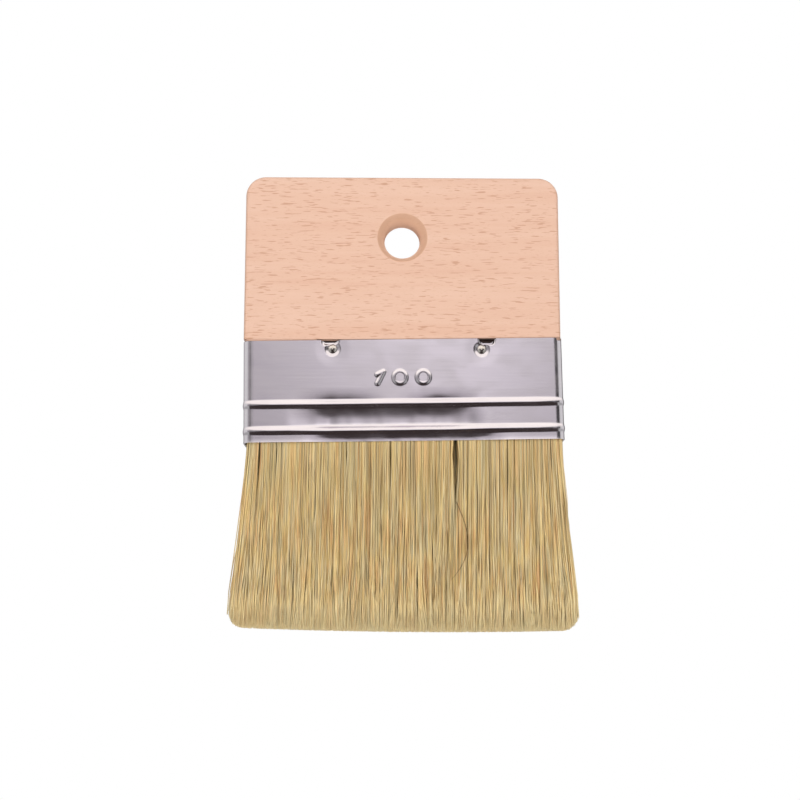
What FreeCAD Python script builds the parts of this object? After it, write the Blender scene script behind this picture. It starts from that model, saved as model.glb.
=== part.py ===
import FreeCAD, Part
import math
import os

# A wide flat paste brush: a beech plate handle with a hanging hole, a folded tinned-steel
# ferrule with two pressed beads, and three rows of hog bristle set in resin.
# Millimetres. The origin is the centre of the hanging hole. +Z points up the handle,
# X runs across the brush and -Y is its front.

V = FreeCAD.Vector
UP = V(0, 0, 1)
ORIGIN = V(0, 0, 0)

# Driving dimensions
BRUSH_WIDTH = 100.0  # outside of the ferrule: the nominal size of the brush
FERRULE_DEPTH = 13.2  # outside, front to back
FERRULE_HEIGHT = 32.1
FERRULE_CORNER = 2.6  # outside radius of the four upright folds
SHEET = 0.4  # tinned steel sheet
HOLE_TO_TOP = 20.0
HOLE_TO_FERRULE = 33.1
BRISTLE_FREE = 58.9  # bristle length that shows below the ferrule
TIP_WIDTH = 107.2  # the bristles fan out towards their tips
TIP_DEPTH = 15.2
ROWS = ("front", "middle", "back")

REACH = BRUSH_WIDTH  # half the size of a cutting solid that spans the whole brush

# Heights that follow from them
BOARD_TOP = HOLE_TO_TOP
FERRULE_TOP = -HOLE_TO_FERRULE
MOUTH = FERRULE_TOP - FERRULE_HEIGHT
TIPS = MOUTH - BRISTLE_FREE

# Handle board
SHEET_PROUD = 0.15  # how far the sheet stands out from the wood
BOARD_WIDTH = BRUSH_WIDTH - 2 * SHEET_PROUD
BOARD_DEPTH = FERRULE_DEPTH - 2 * SHEET_PROUD
BOARD_CORNER = 6.3
BOARD_EDGE = 1.0  # the softened edges of the board
TONGUE_LENGTH = 13.2  # how far the board runs down inside the ferrule
TONGUE_END_CHAMFER = 0.8

# Hanging hole: a narrow throat that opens in a curve towards both faces
THROAT_RADIUS = 5.65
THROAT_LENGTH = 1.6
RIM_RADIUS = 7.95
CUT_CLEAR = 1.0  # how far a cutting solid runs past the face it cuts

# Inside of the ferrule
INNER_WIDTH = BRUSH_WIDTH - 2 * SHEET
INNER_DEPTH = FERRULE_DEPTH - 2 * SHEET
INNER_CORNER = FERRULE_CORNER - SHEET

# Two beads pressed outwards round the ferrule
BEAD_DROPS = (20.4, 28.6)  # from the ferrule's top edge to each bead's middle
BEAD_HALF_HEIGHT = 1.45
BEAD_RISE = 0.75

# Lap seam, where the sheet's two ends meet on the back
SEAM_X = 31.0
SEAM_WIDTH = 6.0

# Ferrule nails and the dish that each one draws into the sheet
NAIL_X = (-21.9, 24.9)
NAIL_DROP = 3.1  # below the ferrule's top edge
NAIL_HEAD_RADIUS = 1.5
NAIL_HEAD_HEIGHT = 0.85
NAIL_SHANK_RADIUS = 0.55
NAIL_POINT = 1.2
NAIL_LENGTH = 4.6
NAIL_HOLE_RADIUS = 0.57
DISH_FLOOR_RADIUS = 1.65
DISH_RADIUS = 2.5
DISH_DEPTH = 0.55
BRUISE_WIDTH = 7.6  # the wood is crushed where the sheet's top edge is drawn in
BRUISE_HEIGHT = 1.6
BRUISE_DEPTH = 1.3
BRUISE_SHIFT = 1.2

# The width in millimetres, embossed on the front
DIGIT_DROP = 12.1
DIGIT_HEIGHT = 5.6
DIGIT_WIDTH = 5.4
DIGIT_STROKE = 1.2
DIGIT_RISE = 0.3
ONE_X = -7.2
ZERO_X = (-1.1, 6.2)

# Bristle setting
RESIN_DEPTH = 8.0  # height of the cast block that holds the bristle ends
STRIP_THICKNESS = 1.8  # wooden spacer strips between the rows
STRIP_WIDTH = 95.0
STRIP_INTO_RESIN = 5.5
STRIP_ABOVE_MOUTH = 1.5
ROW_THICKNESS = (INNER_DEPTH - 2 * STRIP_THICKNESS) / len(ROWS)

# Free bristles: they bend about a line just below the ferrule's mouth
BEND_RADIUS = INNER_DEPTH / 2
BEND_CLEARANCE = 0.3
BEND_AXIS = MOUTH - BEND_RADIUS - BEND_CLEARANCE
TIP_CORNER = 7.0
TIP_SAG = 0.9  # the trimmed tips are slightly crowned
TIP_ROUNDING = 2.5
FAN_BOW = 0.35  # how far the fanned sides hang inside a straight line


def rounded_block(width, depth, corner, low, high):
    """An upright block, centred on the Z axis, with its four upright edges rounded."""
    block = Part.makeBox(width, depth, high - low, V(-width / 2, -depth / 2, low))
    upright = [e for e in block.Edges if abs(e.tangentAt(e.FirstParameter).z) > 0.5]
    return block.makeFillet(corner, upright)


def arc(start, middle, end):
    return Part.Arc(start, middle, end).toShape()


def line(start, end):
    return Part.makeLine(start, end)


def face(edges):
    return Part.Face(Part.Wire(edges))


def polygon_face(points):
    return face([line(a, b) for a, b in zip(points, points[1:] + points[:1])])


# Handle board


def board_blank():
    """The plate above the ferrule, with two round corners and softened edges."""
    half = BOARD_WIDTH / 2
    front = -BOARD_DEPTH / 2
    shoulder = half - BOARD_CORNER
    slant = BOARD_CORNER * (1 - math.sqrt(0.5))
    outline = face(
        [
            line(V(-half, front, FERRULE_TOP), V(-half, front, BOARD_TOP - BOARD_CORNER)),
            arc(
                V(-half, front, BOARD_TOP - BOARD_CORNER),
                V(-half + slant, front, BOARD_TOP - slant),
                V(-shoulder, front, BOARD_TOP),
            ),
            line(V(-shoulder, front, BOARD_TOP), V(shoulder, front, BOARD_TOP)),
            arc(
                V(shoulder, front, BOARD_TOP),
                V(half - slant, front, BOARD_TOP - slant),
                V(half, front, BOARD_TOP - BOARD_CORNER),
            ),
            line(V(half, front, BOARD_TOP - BOARD_CORNER), V(half, front, FERRULE_TOP)),
            line(V(half, front, FERRULE_TOP), V(-half, front, FERRULE_TOP)),
        ]
    )
    plate = outline.extrude(V(0, BOARD_DEPTH, 0))
    soft = [e for e in plate.Edges if lies_on_a_face(e) and e.BoundBox.ZMax > FERRULE_TOP + BOARD_EDGE]
    return plate.makeFillet(BOARD_EDGE, soft)


def lies_on_a_face(edge):
    """True for an edge of the board's front or back face."""
    return edge.BoundBox.YLength < SHEET and abs(edge.BoundBox.YMin) > BOARD_DEPTH / 2 - SHEET


def tongue():
    """The board's lower end, thinned to fit inside the ferrule."""
    low = FERRULE_TOP - TONGUE_LENGTH
    block = rounded_block(INNER_WIDTH, INNER_DEPTH, INNER_CORNER, low, FERRULE_TOP)
    end = [e for e in block.Edges if e.BoundBox.ZMax < low + SHEET]
    return block.makeChamfer(TONGUE_END_CHAMFER, end)


def hanging_hole():
    """The solid that cuts the hole, turned about the Y axis."""
    surface = BOARD_DEPTH / 2
    throat = THROAT_LENGTH / 2
    run = surface - throat
    opening = RIM_RADIUS - THROAT_RADIUS
    flare = (run**2 + opening**2) / (2 * opening)
    swing = math.asin(run / flare) / 2
    bulge = THROAT_RADIUS + flare * (1 - math.cos(swing))
    level = throat + flare * math.sin(swing)
    past = surface + CUT_CLEAR
    section = face(
        [
            line(V(0, -past, 0), V(RIM_RADIUS, -past, 0)),
            line(V(RIM_RADIUS, -past, 0), V(RIM_RADIUS, -surface, 0)),
            arc(V(RIM_RADIUS, -surface, 0), V(bulge, -level, 0), V(THROAT_RADIUS, -throat, 0)),
            line(V(THROAT_RADIUS, -throat, 0), V(THROAT_RADIUS, throat, 0)),
            arc(V(THROAT_RADIUS, throat, 0), V(bulge, level, 0), V(RIM_RADIUS, surface, 0)),
            line(V(RIM_RADIUS, surface, 0), V(RIM_RADIUS, past, 0)),
            line(V(RIM_RADIUS, past, 0), V(0, past, 0)),
            line(V(0, past, 0), V(0, -past, 0)),
        ]
    )
    return section.revolve(ORIGIN, V(0, 1, 0), 360)


def handle_board():
    board = board_blank().fuse(tongue()).removeSplitter()
    board = board.cut(hanging_hole())
    for x, side in nail_places():
        board = board.cut(nail_dish(x, side, under_sheet=True))
        board = board.cut(bruise(x, side))
        board = board.cut(nail_hole(x, side))
    return board


# Nails, and what they do to the sheet and the wood


def nail_places():
    """Where the nails are: x, and -1 for the front or 1 for the back."""
    return [(x, side) for side in (-1, 1) for x in NAIL_X]


def turned(points, x, side):
    """Turns a section about a nail's axis. A point is (radius, depth below the sheet's outside)."""
    skin = side * FERRULE_DEPTH / 2
    height = FERRULE_TOP - NAIL_DROP
    section = polygon_face([V(x + radius, skin - side * depth, height) for radius, depth in points])
    return section.revolve(V(x, 0, height), V(0, 1, 0), 360)


def nail_dish(x, side, under_sheet):
    """The space above the dished sheet, or above its under side."""
    down = SHEET if under_sheet else 0
    return turned(
        [
            (0, -CUT_CLEAR),
            (DISH_RADIUS, -CUT_CLEAR),
            (DISH_RADIUS, down),
            (DISH_FLOOR_RADIUS, DISH_DEPTH + down),
            (0, DISH_DEPTH + down),
        ],
        x,
        side,
    )


def sheet_opening(x, side):
    """The flat sheet that the dish takes the place of."""
    return turned([(0, -CUT_CLEAR), (DISH_RADIUS, -CUT_CLEAR), (DISH_RADIUS, SHEET), (0, SHEET)], x, side)


def dished_sheet(x, side):
    """The drawn-in sheet round a nail, with its hole."""
    return turned(
        [
            (NAIL_HOLE_RADIUS, DISH_DEPTH),
            (DISH_FLOOR_RADIUS, DISH_DEPTH),
            (DISH_RADIUS, 0),
            (DISH_RADIUS, SHEET),
            (DISH_FLOOR_RADIUS, DISH_DEPTH + SHEET),
            (NAIL_HOLE_RADIUS, DISH_DEPTH + SHEET),
        ],
        x,
        side,
    )


def bruise(x, side):
    """The crushed hollow in the wood behind the sheet's drawn-in edge."""
    depth = BRUISE_DEPTH + CUT_CLEAR
    outward = math.copysign(BRUISE_SHIFT, x)
    near = side * (FERRULE_DEPTH / 2 + CUT_CLEAR)
    corner = V(x + outward - BRUISE_WIDTH / 2, min(near, near - side * depth), FERRULE_TOP - BRUISE_HEIGHT)
    return Part.makeBox(BRUISE_WIDTH, depth, BRUISE_HEIGHT, corner)


def nail_hole(x, side):
    deep = DISH_DEPTH + NAIL_LENGTH + NAIL_POINT / 2
    return turned([(0, 0), (NAIL_HOLE_RADIUS, 0), (NAIL_HOLE_RADIUS, deep), (0, deep)], x, side)


def nail(x, side):
    """A small nail with a domed head that sits on the floor of its dish."""
    skin = side * FERRULE_DEPTH / 2
    height = FERRULE_TOP - NAIL_DROP
    seat = DISH_DEPTH
    point = seat + NAIL_LENGTH
    dome_radius = (NAIL_HEAD_RADIUS**2 + NAIL_HEAD_HEIGHT**2) / (2 * NAIL_HEAD_HEIGHT)
    half_angle = math.asin(NAIL_HEAD_RADIUS / dome_radius) / 2
    crown = seat - NAIL_HEAD_HEIGHT

    def at(radius, depth):
        return V(x + radius, skin - side * depth, height)

    shoulder = at(dome_radius * math.sin(half_angle), crown + dome_radius * (1 - math.cos(half_angle)))
    section = face(
        [
            arc(at(0, crown), shoulder, at(NAIL_HEAD_RADIUS, seat)),
            line(at(NAIL_HEAD_RADIUS, seat), at(NAIL_SHANK_RADIUS, seat)),
            line(at(NAIL_SHANK_RADIUS, seat), at(NAIL_SHANK_RADIUS, point - NAIL_POINT)),
            line(at(NAIL_SHANK_RADIUS, point - NAIL_POINT), at(0, point)),
            line(at(0, point), at(0, crown)),
        ]
    )
    return section.revolve(V(x, 0, height), V(0, 1, 0), 360)


def nails(wanted_side):
    return Part.makeCompound([nail(x, side) for x, side in nail_places() if side == wanted_side])


# Ferrule


def wall_section(x, out=0.0):
    """The sheet's upright section in the front wall, with its two beads, moved outwards by out."""
    skin = -FERRULE_DEPTH / 2 - out
    heights = [FERRULE_TOP - drop for drop in BEAD_DROPS]

    def upright_edges(y, z_from, z_to):
        """One side of the sheet from the top edge down to the mouth."""
        edges = []
        here = z_from
        for middle in heights:
            top = middle + BEAD_HALF_HEIGHT
            foot = middle - BEAD_HALF_HEIGHT
            edges.append(line(V(x, y, here), V(x, y, top)))
            edges.append(arc(V(x, y, top), V(x, y - BEAD_RISE, middle), V(x, y, foot)))
            here = foot
        edges.append(line(V(x, y, here), V(x, y, z_to)))
        return edges

    outside = upright_edges(skin, FERRULE_TOP, MOUTH)
    inside = upright_edges(skin + SHEET, FERRULE_TOP, MOUTH)
    rims = [line(V(x, skin, z), V(x, skin + SHEET, z)) for z in (FERRULE_TOP, MOUTH)]
    return Part.Face(Part.Wire(Part.sortEdges(outside + inside + rims)[0]))


def quarter_wall():
    """A quarter of the tube: half of the front wall, one fold and half of the side wall."""
    straight = BRUSH_WIDTH / 2 - FERRULE_CORNER
    side_run = FERRULE_DEPTH / 2 - FERRULE_CORNER
    fold_axis = V(straight, -side_run, 0)
    front = wall_section(0).extrude(V(straight, 0, 0))
    fold = wall_section(straight).revolve(fold_axis, UP, 90)
    turned_section = wall_section(straight)
    turned_section.rotate(fold_axis, UP, 90)
    side = turned_section.extrude(V(0, side_run, 0))
    return front.fuse([fold, side])


def lap_seam():
    """The overlapped end of the sheet, lying on the outside of the back wall."""
    overlap = wall_section(SEAM_X - SEAM_WIDTH / 2, out=SHEET).extrude(V(SEAM_WIDTH, 0, 0))
    return overlap.mirror(ORIGIN, V(0, 1, 0))


def capsule(start, end):
    """A raised stroke with round ends between two (x, z) points on the front."""
    skin = -FERRULE_DEPTH / 2
    radius = DIGIT_STROKE / 2
    along = V(end[0] - start[0], 0, end[1] - start[1])
    length = along.Length
    along.normalize()
    across = V(-along.z, 0, along.x).multiply(radius)
    a = V(start[0], skin - DIGIT_RISE, start[1])
    b = a + V(along).multiply(length)
    thickness = DIGIT_RISE + SHEET / 2
    bar = polygon_face([a + across, b + across, b - across, a - across]).extrude(V(0, thickness, 0))
    ends = [Part.makeCylinder(radius, thickness, p, V(0, 1, 0)) for p in (a, b)]
    return bar.fuse(ends).removeSplitter()


def one(x, z):
    """A leaning stroke with a short flag."""
    half = (DIGIT_HEIGHT - DIGIT_STROKE) / 2
    lean = half / 2
    top = (x + lean, z + half)
    foot = (x - lean, z - half)
    flag = (x - lean, z + half / 2)
    return capsule(foot, top).fuse(capsule(top, flag)).removeSplitter()


def zero(x, z):
    """An oval ring."""
    skin = -FERRULE_DEPTH / 2 - DIGIT_RISE

    def oval(inset):
        high = V(x, skin, z + DIGIT_HEIGHT / 2 - inset)
        wide = V(x + DIGIT_WIDTH / 2 - inset, skin, z)
        edge = Part.Ellipse(high, wide, V(x, skin, z)).toShape()
        return face([edge]).extrude(V(0, DIGIT_RISE + SHEET / 2, 0))

    return oval(0).cut(oval(DIGIT_STROKE))


def ferrule():
    quarter = quarter_wall()
    half = quarter.fuse(quarter.mirror(ORIGIN, V(1, 0, 0)))
    tube = half.fuse(half.mirror(ORIGIN, V(0, 1, 0))).removeSplitter()
    tube = tube.fuse(lap_seam()).removeSplitter()
    for x, side in nail_places():
        tube = tube.cut(sheet_opening(x, side)).fuse(dished_sheet(x, side))
    digit_height = FERRULE_TOP - DIGIT_DROP
    digits = [one(ONE_X, digit_height)] + [zero(x, digit_height) for x in ZERO_X]
    return tube.fuse(digits).removeSplitter()


# What the ferrule holds


def strip_places():
    """Each spacer strip's name and the y of its middle."""
    offset = (ROW_THICKNESS + STRIP_THICKNESS) / 2
    return [("front", -offset), ("back", offset)]


def spacer_strip(y):
    low = MOUTH + STRIP_ABOVE_MOUTH
    high = resin_bottom() + STRIP_INTO_RESIN
    corner = V(-STRIP_WIDTH / 2, y - STRIP_THICKNESS / 2, low)
    return Part.makeBox(STRIP_WIDTH, STRIP_THICKNESS, high - low, corner)


def resin_bottom():
    return FERRULE_TOP - TONGUE_LENGTH - RESIN_DEPTH


def setting_resin():
    """The cast block round the bristle ends, under the tongue, slotted for the strips."""
    high = FERRULE_TOP - TONGUE_LENGTH
    block = rounded_block(INNER_WIDTH, INNER_DEPTH, INNER_CORNER, resin_bottom(), high)
    for _, y in strip_places():
        block = block.cut(spacer_strip(y))
    return block


def row_middle(row):
    """The y of a row's middle inside the ferrule."""
    return (ROWS.index(row) - 1) * (ROW_THICKNESS + STRIP_THICKNESS)


def bristle_butts(row):
    """One row of packed bristle between the resin and the ferrule's mouth."""
    fill = rounded_block(INNER_WIDTH, INNER_DEPTH, INNER_CORNER, MOUTH, resin_bottom())
    slab_corner = V(-INNER_WIDTH / 2, row_middle(row) - ROW_THICKNESS / 2, MOUTH)
    slab = Part.makeBox(INNER_WIDTH, ROW_THICKNESS, resin_bottom() - MOUTH, slab_corner)
    return fill.common(slab)


# Free bristles


def fan_front():
    """The fanned bristles seen from the front, as a face in the XZ plane."""
    half_mouth = INNER_WIDTH / 2
    half_tip = TIP_WIDTH / 2
    top = BEND_AXIS + BEND_RADIUS
    corner_top = TIPS + TIP_SAG + TIP_CORNER
    slant = TIP_CORNER * (1 - math.sqrt(0.5))
    bow_x = (half_mouth + half_tip) / 2 - FAN_BOW
    bow_z = (top + corner_top) / 2
    side = arc(V(half_mouth, 0, top), V(bow_x, 0, bow_z), V(half_tip, 0, corner_top))
    corner = arc(
        V(half_tip, 0, corner_top),
        V(half_tip - slant, 0, corner_top - TIP_CORNER + slant),
        V(half_tip - TIP_CORNER, 0, corner_top - TIP_CORNER),
    )
    far_side = side.mirror(ORIGIN, V(1, 0, 0))
    far_corner = corner.mirror(ORIGIN, V(1, 0, 0))
    foot_x = half_tip - TIP_CORNER
    foot = arc(V(foot_x, 0, TIPS + TIP_SAG), V(0, 0, TIPS), V(-foot_x, 0, TIPS + TIP_SAG))
    lid = line(V(-half_mouth, 0, top), V(half_mouth, 0, top))
    edges = Part.sortEdges([side, corner, foot, far_corner, far_side, lid])[0]
    return Part.Face(Part.Wire(edges))


def fan_side():
    """The same bristles seen from the side, as a face in the YZ plane, round at the bend line."""
    half_tip = TIP_DEPTH / 2
    foot = TIPS - CUT_CLEAR
    round_top = TIPS + TIP_ROUNDING
    crown = V(0, 0, BEND_AXIS + BEND_RADIUS)
    return face(
        [
            arc(V(0, -BEND_RADIUS, BEND_AXIS), crown, V(0, BEND_RADIUS, BEND_AXIS)),
            line(V(0, BEND_RADIUS, BEND_AXIS), V(0, half_tip, round_top)),
            line(V(0, half_tip, round_top), V(0, half_tip - TIP_ROUNDING, foot)),
            line(V(0, half_tip - TIP_ROUNDING, foot), V(0, TIP_ROUNDING - half_tip, foot)),
            line(V(0, TIP_ROUNDING - half_tip, foot), V(0, -half_tip, round_top)),
            line(V(0, -half_tip, round_top), V(0, -BEND_RADIUS, BEND_AXIS)),
        ]
    )


def row_wedge(row):
    """The space that one row fans into: a third of the depth at every height."""
    top = BEND_AXIS + BEND_RADIUS
    foot = TIPS - CUT_CLEAR
    near = ROWS.index(row) / len(ROWS) - 0.5
    far = near + 1 / len(ROWS)
    past_front = CUT_CLEAR if row == "front" else 0
    past_back = CUT_CLEAR if row == "back" else 0
    section = polygon_face(
        [
            V(-REACH, near * 2 * BEND_RADIUS - past_front, top),
            V(-REACH, far * 2 * BEND_RADIUS + past_back, top),
            V(-REACH, far * TIP_DEPTH + past_back, foot),
            V(-REACH, near * TIP_DEPTH - past_front, foot),
        ]
    )
    return section.extrude(V(2 * REACH, 0, 0))


def free_bristles(row):
    front = fan_front()
    front.translate(V(0, -REACH, 0))
    side = fan_side()
    side.translate(V(-REACH, 0, 0))
    bundle = front.extrude(V(0, 2 * REACH, 0)).common(side.extrude(V(2 * REACH, 0, 0)))
    return bundle.common(row_wedge(row))


def all_parts():
    parts = {
        "handle_board": handle_board(),
        "ferrule": ferrule(),
        "ferrule_nails_front": nails(-1),
        "ferrule_nails_back": nails(1),
        "setting_resin": setting_resin(),
    }
    for name, y in strip_places():
        parts[f"spacer_strip_{name}"] = spacer_strip(y)
    for row in ROWS:
        parts[f"bristle_butts_{row}"] = bristle_butts(row)
        parts[f"bristles_{row}"] = free_bristles(row)
    return parts


os.makedirs("parts", exist_ok=True)
for node, shape in all_parts().items():
    shape.exportStep(f"parts/{node}.step")
    print(node, len(shape.Solids), round(shape.Volume, 1), "valid" if shape.isValid() else "NOT VALID")
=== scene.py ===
import math

import bpy
import numpy as np
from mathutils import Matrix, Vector


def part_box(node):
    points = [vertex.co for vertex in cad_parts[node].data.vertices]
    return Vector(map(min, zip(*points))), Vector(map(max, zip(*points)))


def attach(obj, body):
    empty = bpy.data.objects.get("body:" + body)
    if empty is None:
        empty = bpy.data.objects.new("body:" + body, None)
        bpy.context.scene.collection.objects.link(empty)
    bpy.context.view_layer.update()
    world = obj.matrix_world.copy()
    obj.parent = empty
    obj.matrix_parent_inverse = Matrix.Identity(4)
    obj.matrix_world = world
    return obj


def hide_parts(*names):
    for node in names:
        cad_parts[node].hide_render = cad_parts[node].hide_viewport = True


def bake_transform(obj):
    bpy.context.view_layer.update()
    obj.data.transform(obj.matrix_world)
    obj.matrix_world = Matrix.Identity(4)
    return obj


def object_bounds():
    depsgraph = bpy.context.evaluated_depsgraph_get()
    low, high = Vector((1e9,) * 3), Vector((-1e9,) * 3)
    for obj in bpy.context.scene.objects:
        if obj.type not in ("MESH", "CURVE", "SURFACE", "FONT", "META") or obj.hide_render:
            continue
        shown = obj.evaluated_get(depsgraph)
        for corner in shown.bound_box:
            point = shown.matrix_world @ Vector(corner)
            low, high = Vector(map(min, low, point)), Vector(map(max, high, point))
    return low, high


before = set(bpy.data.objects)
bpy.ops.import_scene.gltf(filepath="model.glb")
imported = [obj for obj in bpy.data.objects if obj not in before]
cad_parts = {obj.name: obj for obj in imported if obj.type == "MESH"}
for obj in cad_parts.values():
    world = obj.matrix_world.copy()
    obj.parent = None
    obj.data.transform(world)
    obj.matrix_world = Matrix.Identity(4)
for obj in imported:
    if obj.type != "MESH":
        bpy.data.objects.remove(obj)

# A wide flat paste brush: beech plate handle, tinned-steel ferrule and hog bristle.
# The frame's metres become millimetres here, and meshes turn back to metres when they are made.

MM = 0.001
CAD_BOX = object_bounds()
SEED = 20
ROWS = ("front", "middle", "back")


def box_mm(node):
    """A CAD node's lowest and highest corners, in millimetres."""
    return [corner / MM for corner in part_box(node)]


# Sizes from the frame
FERRULE_LOW, FERRULE_HIGH = box_mm("ferrule")
BRISTLE_LOW, BRISTLE_HIGH = box_mm("bristles_front")
NAILS_LOW, NAILS_HIGH = box_mm("ferrule_nails_front")
BUTTS = {row: box_mm(f"bristle_butts_{row}") for row in ROWS}
BOARD_SIDE = box_mm("handle_board")[1].x
RESIN_BOTTOM = box_mm("setting_resin")[0].z
FERRULE_TOP = FERRULE_HIGH.z
MOUTH = FERRULE_LOW.z
TIPS = BRISTLE_LOW.z

# Tones of the board, and the painted light and shade on it: where each one begins and where it is full
HOLE_RIM = (8.25, 7.8)  # from the hole's axis
HOLE_WALL_PAINTED_LIGHT = (7.4, 5.7)  # and its wall is painted lighter in to the throat, a painted light against the shade inside the hole
END_GRAIN = (BOARD_SIDE - 0.85, BOARD_SIDE - 0.15)  # from the middle, out to each side
FERRULE_SHADOW = (0.45, 0.1)  # above the ferrule's top edge
NOTCH_SHADOW = (0.06, 0.0)  # in the drawn-in edge over a nail
NAIL_SHADE_SPREAD = (6.0, 5.0)  # to each side of a nail, where the painted shade in the drawn-in edge fades out

# Ferrule sheet
SHEET = 0.4
BEAD_RISE = 0.75
BEAD_CREST = 0.85  # the share of that rise that the rolling leaves
BEAD_ABOVE = 1.62  # how far a bead reaches above its crest, and below it
BEAD_BELOW = 1.25
BEAD_POWER = 1.5  # above 1 the crest is narrower than a cosine's
BEAD_DROPS = (20.4, 28.6)
BEAD_FADE = 6.0  # the beads grow lower over this length before the folds
BEAD_FADE_PAST = 1.0  # and over this length beyond
BEAD_LOSS = 0.62
FOLD_RADIUS = 2.6
SIDE_EASE = 0.1  # the crooked sheet is spread this much at each side
HALF_WIDTH = FERRULE_HIGH.x - BEAD_RISE + SIDE_EASE
HALF_DEPTH = -FERRULE_LOW.y - BEAD_RISE
SEAM = (28.0, 34.0)
SEAM_STEP = 0.02
NAIL_HEAD_RADIUS = 1.5
NAIL_X = (NAILS_LOW.x + NAIL_HEAD_RADIUS, NAILS_HIGH.x - NAIL_HEAD_RADIUS)
NAIL_Z = (NAILS_LOW.z + NAILS_HIGH.z) / 2
DISH_DEPTH = 0.45
DISH_RADIUS = 2.6
# The sheet is sunk round each nail, in a small deep dish and a wide faint one: the depth, and the radii of
# its floor and its rim
NAIL_HOLLOWS = ((DISH_DEPTH, (1.2, DISH_RADIUS)), (0.05, (2.0, 6.0)))
# The top edge is drawn in over each nail: how far outward of the nail, half the width, how far down
NOTCHES = ((0.7, 3.2, 0.7), (1.7, 3.0, 1.35))
NOTCH_STEEPNESS = 1.6
NOTCH_FADE = 2.4
NOTCH_PRESS = 0.85
NOTCH_FULL_DROP = 0.9  # the edge is pressed in all the way where it is drawn down this far
NOTCH_IN_DISH = 0.6  # the share of that press which is left out in the dish
# Shallow hollows pressed into the flat stretches: x from and to, the drops below the top edge where they
# go in and where they come out again, how deep they are, and whether their slope is steepest at the top
HOLLOWS = (
    (-36.5, -4.5, (14.8, 18.8), (18.8, 20.4), 0.31, False),
    (-3.5, 26.5, (14.8, 18.8), (18.8, 20.4), 0.31, False),
    (-37.0, 27.5, (20.7, 25.6), (26.2, 30.1), 0.78, True),
    (-33.5, 34.5, (28.9, 32.8), (33.0, 34.0), 0.68, True),
)
HOLLOW_FADE = 14.0
HOLLOW_WAVE = (0.05, 0.55)  # their depth varies across the brush: by how much and how fast
HOLLOW_RIPPLE = (0.02, 1.3)
STEEP_TOP_POWER = 1.6
STEEP_FOOT_POWER = 2.2
LIP_HEIGHT = 0.4
LIP_FLARE = 0.08
# The ferrule sits a little crooked on the board: it is turned about the middle of its top edge and
# moved across
FERRULE_TURN = 0.85
FERRULE_MOVE = 0.15

# Embossed width
DIGIT_DROP = 12.1
DIGIT_Z = FERRULE_TOP - DIGIT_DROP
DIGIT_HEIGHT = 5.6
DIGIT_WIDTH = 5.4
DIGIT_STROKE = 1.2
DIGIT_FLANK = 0.8 * DIGIT_STROKE  # from the middle of a stroke to the foot of its slope
DIGIT_RISE = 0.36
STROKE_FULLNESS = 1.05
ZERO_FLOOR = 0.8  # how much of the rise is left inside the zeros
FLOOR_STEEPNESS = 4
ONE_X = -7.2
ZERO_X = (-1.1, 6.2)

# Ferrule mesh: the steps between its points, and the stretches where they are close together
STEP_ACROSS = 0.9
STEP_DOWN = 0.7
FINE_FRONT = 0.22
FINE_BACK = 0.3
FINE_DOWN = 0.2
DISH_ZONE = DISH_RADIUS + 2.5
DIGIT_ZONE_X = (ONE_X - DIGIT_WIDTH / 2, ZERO_X[1] + DIGIT_WIDTH / 2 + 1)
DIGIT_ZONE = (DIGIT_DROP - DIGIT_HEIGHT / 2 - 0.5, DIGIT_DROP + DIGIT_HEIGHT / 2 + 0.5)
NAIL_ZONE = (0, 6.4)
BEAD_ZONE = 2
FOLD_STEPS = 12
SIDE_STEPS = 9
SHARP_ANGLE = 50

# Bristles
STRANDS = {"front": 3500, "middle": 3600, "back": 3500}
RINGS = {"front": 9, "middle": 8, "back": 9}
SIDES = 3  # of each strand's tube
LAYERS = 3  # in each row
STRAND_RADIUS = 0.15
THICKNESS_RANGE = (0.7, 1.3)
TAPER = 0.15  # they thin out this much from root to tip, and then more in the point
POINT_TAPER = 0.35
POINT_START = 0.85
POINT_LENGTH = 0.15
TIP_CORNER = 4.6
TIP_CORNER_END = 0.98  # the round corner stops just short of upright
TIP_SAG = 0.9
TIP_ROUNDING = 2.2
TIP_ROUNDING_END = 0.95
TIP_SLOPE = 0.009  # the tips are trimmed a little lower towards +X
TIP_TRIM = 0.3  # and this far above the CAD's
UNEVEN_LENGTH = 0.5  # single bristles are about this much shorter
FAN_LENGTH = 50.0  # they reach their full width this far below the ferrule
FAN_BOW = 0.3
FAN_POWER = 8  # the bristles fan out mostly near the two sides
SIDE_FILL = 0.12  # and stand a little closer together there
SIDE_ROOM = 0.35  # some tips stand this far outside the fan
ROW_GAP_REACH = 9.0  # the gaps between the rows close over this length below the ferrule
SWELL_POWER = 0.8  # below 1 the head grows deeper sooner
MOUTH_SHIFT = 0.95  # the crooked ferrule carries the bristles across
TIP_SHIFT = 0.25
MOUTH_CLEAR = 0.35  # gap between the ferrule and the outer bristles at the sides, and front and back
WALL_CLEAR = 0.5
MOUTH_HALF_WIDTH = BUTTS["middle"][1].x - MOUTH_CLEAR
TIP_HALF_WIDTH = BRISTLE_HIGH.x
TIP_HALF_DEPTH = -BRISTLE_LOW.y
# Locks of bristle, large and small: narrowest and widest, where along their length they form, how far
# they sway
LOCKS = (((0.9, 2.8), 0.2, 0.42), ((0.3, 1.0), 0.4, 0.45))
LOCK_GATHER = (0.1, 0.6)  # how much of the way the bristles draw in to their lock's middle
LOCK_DELAY = 0.45  # some locks form this much further along than others
LOCK_LIFT = 0.8  # how far they sway front to back, as a share of how far they sway across
# Each bristle's own lean and wave, and the few that stray
LEAN = 0.55
LEAN_POWER = 2.2
DEPTH_LEAN = 0.25
DEPTH_LEAN_POWER = 1.5
STRAY_SHARE = 0.08
STRAY_LEAN = 3.0
WAVE = 0.16
WAVE_LENGTHS = (0.35, 0.8)
WAVE_ONSET = 3  # the wave has grown to its full size after a third of the length
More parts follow.
